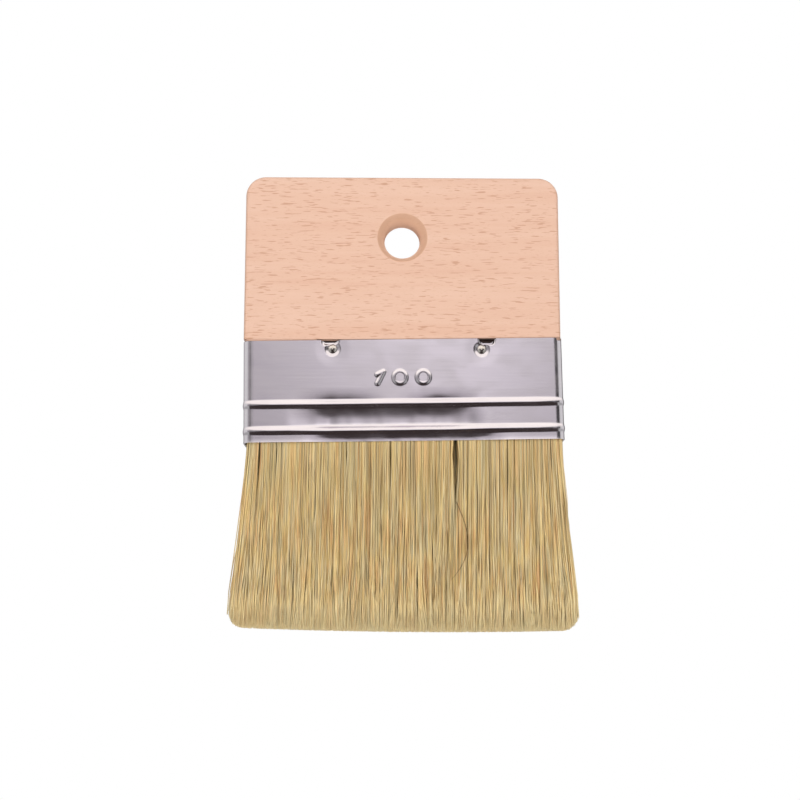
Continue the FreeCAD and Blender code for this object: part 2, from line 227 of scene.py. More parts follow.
# Where the front and middle rows part below the ferrule: x, how far down the gap runs, half its width
PARTINGS = (
    (-45.1, 36.0, 0.36),
    (-39.9, 22.0, 0.28),
    (-18.2, 14.0, 0.22),
    (-4.6, 26.0, 0.3),
    (15.6, 25.0, 1.0),
    (31.7, 42.0, 0.3),
    (45.1, 10.0, 0.28),
)
PARTING_SIDE = 1.3  # how quickly the bristles beside a gap stand closer again
PARTING_ABOVE = 1.0  # a gap begins this far up in the ferrule and widens over the next length
PARTING_ONSET = 2.5
PARTING_HOLD = 1.25  # above 1 it keeps its width for a while before it closes
# Strand map: how far it reaches from the middle in u, how much neighbours mix, half of a strand's width,
# and where it begins and ends in v
MAP_REACH = 0.485
MAP_MIX = 0.0035
MAP_HALF = 0.0007
MAP_ENDS = (0.005, 0.995)

# The dark bristle that lies across the front: x, y and drop where it starts, then how it runs and curves
HAIR_START = (16.6, -6.75, 19)
HAIR_DROP = 24
HAIR_OUT = 1.0
HAIR_BULGE = 4.6
HAIR_BULGE_TURN = 0.72
HAIR_HOOK = 5.4
HAIR_RADIUS = 0.14
HAIR_RINGS = 24
HAIR_SHARE = 0.3

# Camera and floor
CAMERA_DISTANCE = 450.0
CAMERA_AZIMUTH = -1.0
CAMERA_ELEVATION = -9.6
AIM = (-0.65, 0.75)  # where the camera points, across and up from the middle of the brush
LENS = 64.0
CLIP_START = 10
FLOOR_DROP = 230.0
FLOOR_RADIUS = 900.0
FLOOR_SIDES = 96

# Lamps: name, place and size in metres, power
LAMPS = (
    ("key", (-0.15, -0.75, 0.35), 0.6, 3.0),
    ("front", (0.05, -0.9, -0.12), 0.5, 4.7),
    ("back", (0.55, 0.6, 0.3), 0.6, 4.0),
)

# The studio that the metal mirrors, by the direction's x (right) and z (up), each from -1 to 1
HORIZON = (-0.11, -0.03)
WALL_COLOURS = (  # from 0 straight down to 1 straight up
    (0.52, (0.42, 0.39, 0.42)),
    (0.565, (0.50, 0.47, 0.50)),
    (0.61, (0.62, 0.585, 0.62)),
    (0.68, (0.84, 0.80, 0.83)),
)
WALL_LEVELS = ((0.24, 0.68), (0.37, 0.99), (0.47, 1.34), (0.60, 1.88), (0.71, 1.36), (0.80, 1.04))
WALL_SPAN = (2.0, 0.5)  # a level's place is x times the first and plus the second
FAR_SIDES = (0.72, 0.9)
FAR_SIDE_LEVEL = 0.74
CEILING = (0.3, 0.5)
CEILING_COLOUR = (1.22, 1.15, 1.09)
FLOOR_LEVEL = 0.45
DARK_AIM = (0, -0.6, -0.8)  # the dark stretch of floor in front of the brush
DARK_EDGE = (0.42, 0.56)
DARK_COLOUR = (0.045, 0.034, 0.034)
# Dark panels to the right and left: where each fades in and out across, how dense it is, its colour
PANELS = (
    ((0.17, 0.23), (0.86, 0.72), 0.94, (0.02, 0.02, 0.02)),
    ((-0.17, -0.23), (-0.6, -0.4), 0.6, (0.10, 0.10, 0.09)),
)
PANEL_FOOT = (-0.1, 0.0)
PANEL_TOP = (0.45, 0.3)
# What lights the dull surfaces, from below and from above
DULL_HEIGHTS = (-0.6, 0.8)
DULL_LEVELS = (0.40, 0.50)


def colour(red, green, blue):
    """A linear colour from display values of 0 to 255."""
    shares = [value / 255 for value in (red, green, blue)]
    return [s / 12.92 if s <= 0.04045 else ((s + 0.055) / 1.055) ** 2.4 for s in shares] + [1.0]


def shade(level):
    """A neutral colour of one level."""
    return [level, level, level, 1]


def smooth(value):
    """0 below 0, 1 above 1 and an even slope change between."""
    share = np.clip(value, 0.0, 1.0)
    return share * share * (3 - 2 * share)


# Node helpers


class Shader:
    """A node tree with short calls to add and join its nodes."""

    def __init__(self, tree):
        self.tree = tree
        tree.nodes.clear()

    def add(self, kind, inputs=None, **settings):
        node = self.tree.nodes.new(kind)
        for key, value in settings.items():
            setattr(node, key, value)
        for key, value in (inputs or {}).items():
            self.put(node.inputs[key], value)
        return node

    def put(self, socket, value):
        if isinstance(value, bpy.types.NodeSocket):
            self.tree.links.new(value, socket)
        else:
            socket.default_value = value

    def math(self, operation, *values):
        node = self.add("ShaderNodeMath", operation=operation)
        for socket, value in zip(node.inputs, values):
            self.put(socket, value)
        return node.outputs[0]

    def squared(self, value):
        return self.math("MULTIPLY", value, value)

    def parts(self, vector):
        """A vector's x, y and z."""
        return self.add("ShaderNodeSeparateXYZ", {"Vector": vector}).outputs

    def scaled(self, vector, factors):
        node = self.add("ShaderNodeVectorMath", operation="MULTIPLY")
        self.put(node.inputs[0], vector)
        node.inputs[1].default_value = factors
        return node.outputs[0]

    def noise(self, vector, detail=2.0, roughness=0.5, distortion=0.0):
        inputs = {"Vector": vector, "Scale": 1.0, "Detail": detail}
        inputs["Roughness"] = roughness
        inputs["Distortion"] = distortion
        return self.add("ShaderNodeTexNoise", inputs).outputs["Fac"]

    def remap(self, value, low, high, to_low=0.0, to_high=1.0):
        node = self.add("ShaderNodeMapRange", interpolation_type="SMOOTHSTEP")
        for key, item in zip(range(5), (value, low, high, to_low, to_high)):
            self.put(node.inputs[key], item)
        return node.outputs[0]

    def fade(self, value, ends):
        """0 at the first of two places in millimetres and 1 at the second."""
        return self.remap(value, ends[0] * MM, ends[1] * MM)

    def ramp(self, value, stops):
        node = self.add("ShaderNodeValToRGB", {"Fac": value})
        elements = node.color_ramp.elements
        while len(elements) < len(stops):
            elements.new(1.0)
        for element, (place, look) in zip(elements, stops):
            element.position = place
            element.color = look
        return node.outputs[0]

    def mix(self, factor, first, second, blend="MIX"):
        node = self.add("ShaderNodeMix", data_type="RGBA", blend_type=blend)
        self.put(node.inputs["Factor"], factor)
        colours = [s for s in node.inputs if s.type == "RGBA"]
        self.put(colours[0], first)
        self.put(colours[1], second)
        return next(s for s in node.outputs if s.type == "RGBA")

    def stains_and_painted_light(self, tone, mask, amount, look):
        """The tone with another colour laid over it by an amount where the mask is 1: used for the wood's
        own stains and flecks, and for painted light and shade.
        """
        return self.mix(self.math("MULTIPLY", mask, amount), tone, look)


def material(name):
    """A new material, its node helper and its Principled shader."""
    made = bpy.data.materials.new(name)
    made.use_nodes = True
    shader = Shader(made.node_tree)
    output = shader.add("ShaderNodeOutputMaterial")
    surface = shader.add("ShaderNodeBsdfPrincipled")
    shader.put(output.inputs["Surface"], surface.outputs[0])
    return made, shader, surface


# Materials


def beech():
    """Pale pink beech with its grain across the brush, short dark flecks and an oiled sheen."""
    made, shader, surface = material("beech")
    place = shader.add("ShaderNodeTexCoord").outputs["Object"]
    grain = shader.noise(shader.scaled(place, (18, 90, 320)), detail=4, distortion=0.3)
    tone = shader.ramp(
        grain,
        [(0.30, colour(199, 160, 138)), (0.5, colour(202, 165, 144)), (0.72, colour(205, 170, 150))],
    )
    fleck = shader.noise(shader.scaled(place, (260, 500, 2300)), detail=1.5)
    fleck_mask = shader.remap(fleck, 0.60, 0.68)
    tone = shader.stains_and_painted_light(tone, fleck_mask, 0.8, colour(176, 133, 107))
    pore = shader.noise(shader.scaled(place, (900, 3500, 4200)), detail=1)
    tone = shader.stains_and_painted_light(tone, shader.remap(pore, 0.62, 0.75), 0.35, colour(185, 143, 119))
    x, _, z = shader.parts(place)
    tone = cut_wood_and_painted_hole_light(shader, tone, x, z)
    tone = shaded_by_ferrule(shader, tone, x, z)
    shader.put(surface.inputs["Base Color"], tone)
    shader.put(surface.inputs["Roughness"], shader.remap(grain, 0.3, 0.7, 0.42, 0.56))
    height = shader.math("SUBTRACT", shader.math("MULTIPLY", grain, 0.5), fleck_mask)
    bump = shader.add("ShaderNodeBump", {"Height": height, "Strength": 0.25, "Distance": 0.05 * MM})
    shader.put(surface.inputs["Normal"], bump.outputs[0])
    return made


def cut_wood_and_painted_hole_light(shader, tone, x, z):
    """The tone with the darker tones of the hole's wall and of the board's two sides, where the wood was
    cut, and a painted light that makes the hole's wall lighter in to the throat, against the shade inside
    the hole.
    """
    radius = shader.math("SQRT", shader.math("ADD", shader.squared(x), shader.squared(z)))
    # painted light: the wall's colour grows lighter in to the throat, where shade falls inside the hole
    wall = shader.mix(shader.fade(radius, HOLE_WALL_PAINTED_LIGHT), colour(203, 162, 135), colour(224, 184, 155))
    tone = shader.stains_and_painted_light(tone, shader.fade(radius, HOLE_RIM), 0.85, wall)
    at_end = shader.fade(shader.math("ABSOLUTE", x), END_GRAIN)
    return shader.stains_and_painted_light(tone, at_end, 0.35, colour(177, 134, 108))


def shaded_by_ferrule(shader, tone, x, z):
    """The tone with a painted shadow in a dark line along the ferrule's top edge, and painted shade, near
    black, in the drawn-in edge over the nails.
    """
    crooked = math.sin(math.radians(FERRULE_TURN))
    edge = shader.math("MULTIPLY_ADD", x, crooked, FERRULE_TOP * MM)
    above = shader.math("SUBTRACT", z, edge)
    # painted shadow: the wood darkened in a thin line along the ferrule's top edge
    tone = shader.stains_and_painted_light(tone, shader.fade(above, FERRULE_SHADOW), 0.6, colour(104, 78, 66))
    beside = [shader.math("ABSOLUTE", shader.math("SUBTRACT", x, nail * MM)) for nail in NAIL_X]
    near_nails = shader.fade(shader.math("MINIMUM", *beside), NAIL_SHADE_SPREAD)
    # painted shade: the wood in the drawn-in edge over each nail is darkened almost to black, where shade
    # falls in the hollow
    return shader.stains_and_painted_light(tone, shader.fade(above, NOTCH_SHADOW), near_nails, colour(40, 26, 20))


def tinned_steel():
    """Bright tinned sheet with fine rolling lines and faint smears."""
    made, shader, surface = material("tinned_steel")
    place = shader.add("ShaderNodeTexCoord").outputs["Object"]
    lines = shader.noise(shader.scaled(place, (60, 60, 5200)), detail=3)
    smear = shader.noise(shader.scaled(place, (90, 90, 150)), detail=3, distortion=0.6)
    tone = shader.ramp(smear, [(0.3, colour(226, 221, 226)), (0.7, colour(236, 231, 235))])
    tone = shader.mix(shader.remap(lines, 0.35, 0.65, 0.0, 0.25), tone, colour(216, 211, 216))
    shader.put(surface.inputs["Base Color"], tone)
    surface.inputs["Metallic"].default_value = 1.0
    shader.put(surface.inputs["Roughness"], shader.remap(smear, 0.3, 0.7, 0.17, 0.26))
    return made


def nail_steel():
    """Bright steel, a little dull and pitted."""
    made, shader, surface = material("nail_steel")
    place = shader.add("ShaderNodeTexCoord").outputs["Object"]
    spots = shader.noise(shader.scaled(place, (1800, 1800, 1800)), detail=3)
    tone = shader.ramp(spots, [(0.35, colour(205, 198, 190)), (0.65, colour(236, 232, 226))])
    shader.put(surface.inputs["Base Color"], tone)
    surface.inputs["Metallic"].default_value = 1.0
    shader.put(surface.inputs["Roughness"], shader.remap(spots, 0.3, 0.7, 0.14, 0.3))
    return made


def resin():
    """Amber resin with cloudy streaks."""
    made, shader, surface = material("setting_resin")
    place = shader.add("ShaderNodeTexCoord").outputs["Object"]
    cloud = shader.noise(shader.scaled(place, (180, 400, 400)), detail=4, distortion=0.8)
    tone = shader.ramp(cloud, [(0.3, colour(150, 112, 58)), (0.7, colour(190, 150, 84))])
    shader.put(surface.inputs["Base Color"], tone)
    shader.put(surface.inputs["Roughness"], shader.remap(cloud, 0.3, 0.7, 0.2, 0.35))
    return made


def strip_wood():
    """Plain sawn softwood with straight grain."""
    made, shader, surface = material("strip_wood")
    place = shader.add("ShaderNodeTexCoord").outputs["Object"]
    grain = shader.noise(shader.scaled(place, (25, 900, 700)), detail=4)
    tone = shader.ramp(grain, [(0.3, colour(196, 156, 104)), (0.7, colour(226, 192, 142))])
    shader.put(surface.inputs["Base Color"], tone)
    shader.put(surface.inputs["Roughness"], shader.remap(grain, 0.3, 0.7, 0.6, 0.75))
    return made


def bristle():
    """Hog bristle. Each strand's map runs across the brush in u and from root to tip in v."""
    made, shader, surface = material("bristle")
    across, along, _ = shader.parts(shader.add("ShaderNodeUVMap", uv_map="OFBake").outputs[0])
    # Squared, so that the streaks are shorter towards the tips
    inputs = {"X": across, "Y": shader.squared(along)}
    strand = shader.add("ShaderNodeCombineXYZ", inputs).outputs[0]
    lock = shader.noise(shader.scaled(strand, (56, 2.0, 0)), detail=2)
    hair = shader.noise(shader.scaled(strand, (280, 6.0, 0)), detail=1)
    light = shader.math("ADD", shader.math("MULTIPLY", lock, 0.35), shader.math("MULTIPLY", hair, 0.65))
    tone = shader.ramp(
        light,
        [
            (0.30, colour(190, 162, 118)),
            (0.42, colour(214, 188, 141)),
            (0.52, colour(228, 207, 160)),
            (0.62, colour(236, 217, 173)),
            (0.72, colour(243, 228, 190)),
        ],
    )
    inputs = {0: strand, 1: (0.37, 0.2, 0)}
    moved = shader.add("ShaderNodeVectorMath", inputs, operation="ADD").outputs[0]
    hue = shader.noise(shader.scaled(moved, (300, 3.0, 0)), detail=1)
    tint = shader.ramp(
        hue,
        [
            (0.34, colour(218, 220, 214)),
            (0.46, colour(248, 247, 246)),
            (0.54, colour(252, 245, 214)),
            (0.66, colour(248, 222, 200)),
        ],
    )
    tone = shader.mix(0.9, tone, tint, blend="MULTIPLY")
    # painted shade: the bristles are darker towards the ferrule's mouth and reach their full colour
    # towards the tips
    painted_shade_levels = [(0.15, shade(0.82)), (0.45, shade(0.92)), (0.8, shade(0.99)), (1.0, shade(1.0))]
    tone = shader.mix(1.0, tone, shader.ramp(along, painted_shade_levels), blend="MULTIPLY")
    # the tips' own paler colour, and in part a painted light that lifts the shade among the tips
    tone = shader.stains_and_painted_light(tone, shader.remap(along, 0.8, 1.0), 0.42, colour(255, 238, 188))
    shader.put(surface.inputs["Base Color"], tone)
    surface.inputs["Roughness"].default_value = 0.42
    surface.inputs["Specular IOR Level"].default_value = 0.45
    return made


def dark_hair():
    """One dark brown bristle."""
    made, shader, surface = material("dark_hair")
    strand = shader.add("ShaderNodeUVMap", uv_map="OFBake").outputs[0]
    streak = shader.noise(shader.scaled(strand, (40, 12, 0)), detail=2)
    tone = shader.ramp(streak, [(0.3, colour(76, 50, 28)), (0.7, colour(112, 78, 46))])
    shader.put(surface.inputs["Base Color"], tone)
    surface.inputs["Roughness"].default_value = 0.4
    return made


# Mesh helpers


def mesh_piece(name, points, faces, finish):
    """A smooth-shaded object from points in millimetres."""
    mesh = bpy.data.meshes.new(name)
    mesh.from_pydata((points * MM).tolist(), [], faces)
    mesh.materials.append(finish)
    mesh.shade_smooth()
    piece = bpy.data.objects.new(name, mesh)
    bpy.context.scene.collection.objects.link(piece)
    return piece


def graded(start, stop, coarse, fine, detailed):
    """Places from start to stop, close together inside the detailed ranges and wide apart outside."""
    places = [start]
    while places[-1] < stop:
        here = places[-1]
        inside = any(low - coarse <= here <= high for low, high in detailed)
        places.append(min(here + (fine if inside else coarse), stop))
    return places


# Ferrule


def bead_profile(depth):
    """How far the sheet stands out at each depth below its top edge because of the two beads."""
    rise = np.zeros_like(depth)
    for drop in BEAD_DROPS:
        reach = np.where(depth < drop, BEAD_ABOVE, BEAD_BELOW)
        share = np.clip(np.abs(depth - drop) / reach, 0, 1)
        rise += BEAD_CREST * BEAD_RISE * np.cos(share * math.pi / 2) ** BEAD_POWER
    return rise


def bead_share(columns):
    """How much of the beads' rise each station has: all of it on the faces and less round the folds."""
    past = np.abs(columns[:, 0]) - (HALF_WIDTH - FOLD_RADIUS - BEAD_FADE)
    return 1 - BEAD_LOSS * smooth(past / (BEAD_FADE + BEAD_FADE_PAST))


def hollow_depth(x, depth):
    """How far the flat stretches are pressed in between and beside the beads."""
    pressed = np.zeros_like(x)
    for x_from, x_to, (start, end), (back, out), amount, steep_top in HOLLOWS:
        along = smooth((x - x_from) / HOLLOW_FADE) * smooth((x_to - x) / HOLLOW_FADE)
        uneven = 1 + HOLLOW_WAVE[0] * np.sin(x * HOLLOW_WAVE[1] + start)
        uneven += HOLLOW_RIPPLE[0] * np.sin(x * HOLLOW_RIPPLE[1])
        share = np.clip((depth - start) / (end - start), 0, 1)
        lean = 1 - (1 - share) ** STEEP_TOP_POWER if steep_top else share**STEEP_FOOT_POWER
        pressed += amount * uneven * along * lean * smooth((out - depth) / (out - back))
    return pressed


def stroke_distance(x, z, start, end):
    """Distance from a straight stroke between two (x, z) points."""
    along = np.subtract(end, start)
    share = np.clip(((x - start[0]) * along[0] + (z - start[1]) * along[1]) / along.dot(along), 0, 1)
    return np.hypot(x - start[0] - share * along[0], z - start[1] - share * along[1])


def digit_rise(x, z):
    """The share of the embossing's full rise at each point of the number 100."""
    half = DIGIT_HEIGHT / 2 - DIGIT_FLANK
    wide = DIGIT_WIDTH / 2 - DIGIT_FLANK
    top = (ONE_X + half / 2, DIGIT_Z + half)
    foot = (ONE_X - half / 2, DIGIT_Z - half)
    flag = (ONE_X - half / 2, DIGIT_Z + half / 2)
    nearest = np.minimum(stroke_distance(x, z, foot, top), stroke_distance(x, z, top, flag))
    floor = np.zeros_like(x)
    for middle in ZERO_X:
        angle = np.arctan2((z - DIGIT_Z) / half, (x - middle) / wide)
        ring = np.hypot(x - middle - wide * np.cos(angle), z - DIGIT_Z - half * np.sin(angle))
        nearest = np.minimum(nearest, ring)
        inside = 1 - np.hypot((x - middle) / wide, (z - DIGIT_Z) / half)
        floor += smooth(FLOOR_STEEPNESS * inside)
    stroke = smooth(STROKE_FULLNESS * (1 - nearest / DIGIT_FLANK))
    return np.maximum(stroke, ZERO_FLOOR * floor)


def pressed_shape(x, z, side):
    """How far the sheet stands out from flat on the front (side -1) or back (side 1)."""
    height = np.zeros_like(x)
    for nail_x, nail_z in [to_ferrule(x, NAIL_Z) for x in NAIL_X]:
        radius = np.hypot(x - nail_x, z - nail_z)
        for sunk, (inner, outer) in NAIL_HOLLOWS:
            height -= sunk * smooth((outer - radius) / (outer - inner))
    height -= hollow_depth(x * -side, FERRULE_TOP - z)
    if side < 0:
        height += DIGIT_RISE * digit_rise(x, z)
    return height


def notch(x, z):
    """How far down a point is drawn with the top edge over the nails."""
    amount = np.zeros_like(x)
    for nail_x, (shift, half_width, drop) in zip(NAIL_X, NOTCHES):
        middle = to_ferrule(nail_x, NAIL_Z)[0] + math.copysign(shift, nail_x)
        amount += drop * smooth(NOTCH_STEEPNESS * (1 - np.abs(x - middle) / half_width))
    return amount * smooth(1 + (z - FERRULE_TOP) / NOTCH_FADE)


def to_ferrule(x, z):
    """A point of the brush in the coordinates of the ferrule before it is turned."""
    turn = math.radians(FERRULE_TURN)
    from_x = x - FERRULE_MOVE
    from_z = z - FERRULE_TOP
    return (
        from_x * math.cos(turn) + from_z * math.sin(turn),
        FERRULE_TOP + from_z * math.cos(turn) - from_x * math.sin(turn),
    )


def turned(points):
    """The ferrule's points, turned and moved to where it sits on the board."""
    turn = math.radians(FERRULE_TURN)
    x = points[:, 0]
    z = points[:, 2] - FERRULE_TOP
    new_x = x * math.cos(turn) - z * math.sin(turn) + FERRULE_MOVE
    new_z = FERRULE_TOP + z * math.cos(turn) + x * math.sin(turn)
    return np.stack([new_x, points[:, 1], new_z], axis=1)


def ferrule_columns():
    """Stations round the ferrule: x, y, outward normal x and y, and the side that a station is on."""
    straight = HALF_WIDTH - FOLD_RADIUS
    side_run = HALF_DEPTH - FOLD_RADIUS
    dishes = [(x - DISH_ZONE, x + DISH_ZONE) for x in NAIL_X]
    front = graded(-straight, straight, STEP_ACROSS, FINE_FRONT, dishes + [DIGIT_ZONE_X])
    back = graded(-straight, straight, STEP_ACROSS, FINE_BACK, dishes)
    back = [x for x in back if min(abs(x - edge) for edge in SEAM) > SEAM_STEP]
    back = sorted(back + [edge + step for edge in SEAM for step in (0, SEAM_STEP)], reverse=True)
    side_places = np.linspace(-side_run, side_run, SIDE_STEPS)[1:-1]
    stations = [(x, -HALF_DEPTH, 0, -1, -1) for x in front]
    stations += fold(straight, -side_run, -90)
    stations += [(HALF_WIDTH, y, 1, 0, 0) for y in side_places]
    stations += fold(straight, side_run, 0)
    stations += [(x, HALF_DEPTH, 0, 1, 1) for x in back]
    stations += fold(-straight, side_run, 90)
    stations += [(-HALF_WIDTH, -y, -1, 0, 0) for y in side_places]
    stations += fold(-straight, -side_run, 180)
    return np.array(stations)


def fold(centre_x, centre_y, start_angle):
    """The stations of one upright fold, a quarter turn."""
    stations = []
    for angle in np.radians(np.linspace(start_angle, start_angle + 90, FOLD_STEPS)[1:-1]):
        turn = (math.cos(angle), math.sin(angle))
        stations.append((centre_x + FOLD_RADIUS * turn[0], centre_y + FOLD_RADIUS * turn[1], *turn, 0))
    return stations


def ferrule_surface(columns, depths, seam):
    """The sheet's outside as a grid of points, rows from the top edge down."""
    depth, x = np.meshgrid(depths, columns[:, 0], indexing="ij")
    z = FERRULE_TOP - depth
    out = bead_profile(depth) * bead_share(columns)
    out += LIP_FLARE * smooth((depth - depths[-1] + LIP_HEIGHT) / LIP_HEIGHT)
    for side in (-1, 1):
        on_side = columns[:, 4] == side
        out[:, on_side] += pressed_shape(x[:, on_side], z[:, on_side], side)
        drawn = notch(x[:, on_side], z[:, on_side])
        press = NOTCH_PRESS * smooth(drawn / NOTCH_FULL_DROP)
        out[:, on_side] -= press * (1 - NOTCH_IN_DISH * smooth(-out[:, on_side] / DISH_DEPTH))
        z[:, on_side] -= drawn
    if seam:
        across = columns[:, 0]
        on_back = columns[:, 4] == 1
        out[:, on_back & (across > SEAM[0]) & (across < SEAM[1] + SEAM_STEP / 2)] += SHEET
    flat = columns[:, :2] + out[..., None] * columns[:, 2:4]
    return np.concatenate([flat, z[..., None]], axis=2)


def inside_of(surface, columns):
    """The sheet's inside: the outside moved in along its normals."""
    across = np.roll(surface, -1, axis=1) - np.roll(surface, 1, axis=1)
    down = np.gradient(surface, axis=0)
    normal = np.cross(down, across)
    normal /= np.linalg.norm(normal, axis=2, keepdims=True)
    outward = np.concatenate([columns[:, 2:4], np.zeros((len(columns), 1))], axis=1)
    normal *= np.sign(np.sum(normal * outward, axis=2, keepdims=True))
    return surface - SHEET * normal


def wrapped_quads(upper, lower):
    """Quads between two closed rows of point numbers."""
    return np.stack([upper, lower, np.roll(lower, -1), np.roll(upper, -1)], axis=1)


def ferrule_piece(finish):
    """The folded sheet, with all that is pressed into it and its lap seam at the back."""
    columns = ferrule_columns()
    beads = [(drop - BEAD_ZONE, drop + BEAD_ZONE) for drop in BEAD_DROPS]
    depths = graded(0.0, FERRULE_TOP - MOUTH, STEP_DOWN, FINE_DOWN, beads + [NAIL_ZONE, DIGIT_ZONE])
    outside = ferrule_surface(columns, depths, seam=True)
    inside = inside_of(ferrule_surface(columns, depths, seam=False), columns)
    rows, count = outside.shape[:2]
    numbers = np.arange(2 * rows * count).reshape(2, rows, count)
    faces = [wrapped_quads(numbers[0, row], numbers[0, row + 1]) for row in range(rows - 1)]
    faces += [wrapped_quads(numbers[1, row + 1], numbers[1, row]) for row in range(rows - 1)]
    faces += [wrapped_quads(numbers[1, 0], numbers[0, 0]), wrapped_quads(numbers[0, -1], numbers[1, -1])]
    points = np.concatenate([outside.reshape(-1, 3), inside.reshape(-1, 3)])
    piece = mesh_piece("ferrule_sheet", turned(points), np.concatenate(faces).tolist(), finish)
    piece.data.set_sharp_from_angle(angle=math.radians(SHARP_ANGLE))
    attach(piece, "root")
    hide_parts("ferrule")


# Bristles


def fan_half_width(depth):
    """Half the brush's width at a depth below the ferrule's mouth."""
    share = np.clip(depth / FAN_LENGTH, 0, 1)
    straight = MOUTH_HALF_WIDTH + (TIP_HALF_WIDTH - MOUTH_HALF_WIDTH) * share
    return straight - 4 * FAN_BOW * share * (1 - share)


def trimmed_end(x, y):
    """The height of the trimmed tips: crowned, with round corners and round front and back edges."""
    across = np.abs(x) / TIP_HALF_WIDTH
    height = TIPS + TIP_SAG * across**2 - TIP_SLOPE * x + TIP_TRIM
    past = np.clip(np.abs(x) - (TIP_HALF_WIDTH - TIP_CORNER), 0, TIP_CORNER * TIP_CORNER_END)
    height += TIP_CORNER - np.sqrt(TIP_CORNER**2 - past**2)
    edge = (np.abs(y) - (TIP_HALF_DEPTH - TIP_ROUNDING)) / TIP_ROUNDING
    return height + TIP_ROUNDING * (1 - np.sqrt(1 - np.clip(edge, 0, TIP_ROUNDING_END) ** 2))


def mouth_half_width(y):
    """Half the width inside the ferrule at a distance from its middle plane, less in the round corners."""
    corner = FOLD_RADIUS - SHEET
    past = np.clip(np.abs(y) - (HALF_DEPTH - SHEET - corner), 0, corner)
    return MOUTH_HALF_WIDTH - corner + np.sqrt(corner**2 - past**2)


def row_depths(row, place):
    """Each strand's y at the resin, just below the mouth and at the tips, from its place in its row."""
    low, high = BUTTS[row]
    deepest = HALF_DEPTH - SHEET - WALL_CLEAR - STRAND_RADIUS
    root = np.clip(low.y + place * (high.y - low.y), -deepest, deepest)
    even = 2 * (ROWS.index(row) + place) / len(ROWS) - 1
    return root, even * deepest, even * (TIP_HALF_DEPTH - STRAND_RADIUS)


def strand_paths(row, rng):
    """The bristles' middle lines, by strand and ring, and each one's share of the width."""
    count = STRANDS[row]
    even = (np.arange(count) + rng.uniform(0, 1, count)) / count * 2 - 1
    share = even * (1 + SIDE_FILL - SIDE_FILL * even**2)
    place = rng.uniform(0, 1, count)
    root_y, mouth_y, tip_y = row_depths(row, place)
    across = share * (mouth_half_width(root_y) - STRAND_RADIUS)
    shorter = np.abs(rng.normal(0, UNEVEN_LENGTH, count))
    end = trimmed_end(share * TIP_HALF_WIDTH, tip_y) + shorter
    step = np.linspace(0, 1, RINGS[row] + 1)
    depth = np.clip(MOUTH - RESIN_BOTTOM - (end - RESIN_BOTTOM)[:, None] * step, 0, None)
    run = depth / (MOUTH - TIPS)
    spread = fan_half_width(depth) - MOUTH_HALF_WIDTH
    x = across[:, None] + np.sign(share)[:, None] * spread * np.abs(share)[:, None] ** FAN_POWER
    y = root_y[:, None] + (mouth_y - root_y)[:, None] * smooth(depth / ROW_GAP_REACH)
    y += (tip_y - mouth_y)[:, None] * run**SWELL_POWER
    layer = np.floor(place * LAYERS).astype(int)
    for number in range(LAYERS):
        chosen = layer == number
        for widths, first, sway in LOCKS:
            x_move, y_move = lock_moves(rng, across[chosen], run[chosen], widths, first, sway)
            x[chosen] += x_move
            y[chosen] += y_move
    x_move, y_move = own_moves(rng, count, run)
    x += x_move
    y += y_move
    if row != "back":
        x += parting_moves(across, depth)
    half_width = np.minimum(fan_half_width(depth), TIP_HALF_WIDTH - STRAND_RADIUS) + SIDE_ROOM * run
    x = np.clip(x, -half_width, half_width)
    y = np.clip(y, -TIP_HALF_DEPTH, TIP_HALF_DEPTH)
    end = trimmed_end(x[:, -1], y[:, -1]) + shorter
    z = RESIN_BOTTOM + (end - RESIN_BOTTOM)[:, None] * step
    x += MOUTH_SHIFT + (TIP_SHIFT - MOUTH_SHIFT) * run
    return np.stack([x, y, z], axis=2), share


def locks(rng, x, narrowest, widest):
    """Groups neighbouring bristles into locks: each one's lock number, and every lock's middle."""
    edges = [-MOUTH_HALF_WIDTH]
    while edges[-1] < MOUTH_HALF_WIDTH:
        edges.append(edges[-1] + rng.uniform(narrowest, widest))
    edges = np.array(edges)
    number = np.clip(np.searchsorted(edges, x) - 1, 0, len(edges) - 2)
    return number, (edges[1:] + edges[:-1]) / 2


def lock_moves(rng, across, run, widths, first, most):
    """Locks draw together and sway more and more towards the tips."""
    number, middles = locks(rng, across, *widths)
    gather = rng.uniform(*LOCK_GATHER, len(middles))[number]
    start = rng.uniform(first, first + LOCK_DELAY, len(middles))[number]
    sway = rng.normal(0, most, len(middles))[number]
    lift = rng.normal(0, LOCK_LIFT * most, len(middles))[number]
    felt = smooth((run - start[:, None]) / (1 - start[:, None]))
    x_move = (gather * (middles[number] - across) + sway)[:, None] * felt
    return x_move, lift[:, None] * felt


def own_moves(rng, count, run):
    """Each bristle's own lean and wave, and a few that stray across their neighbours."""
    stray = np.where(rng.uniform(0, 1, count) < STRAY_SHARE, STRAY_LEAN, 1.0)
    lean = rng.normal(0, LEAN, count) * stray
    wave = rng.normal(0, WAVE, count)
    phase = rng.uniform(0, 2 * math.pi, count)
    length = rng.uniform(*WAVE_LENGTHS, count)
    ripple = np.sin(run / length[:, None] * 2 * math.pi + phase[:, None]) - np.sin(phase[:, None])
    x_move = lean[:, None] * run**LEAN_POWER + wave[:, None] * ripple * smooth(run * WAVE_ONSET)
    y_move = rng.normal(0, DEPTH_LEAN, count)[:, None] * run**DEPTH_LEAN_POWER
    return x_move, y_move


def parting_moves(across, depth):
    """Bristles stand aside where the brush parts below the ferrule."""
    move = np.zeros_like(depth)
    for x, reach, gap in PARTINGS:
        beside = across - x
        push = np.sign(beside) * gap * np.exp(-np.abs(beside) / PARTING_SIDE)
        opening = smooth((depth + PARTING_ABOVE) / PARTING_ONSET)
        move += push[:, None] * (opening * smooth(PARTING_HOLD * (1 - depth / reach)))
    return move


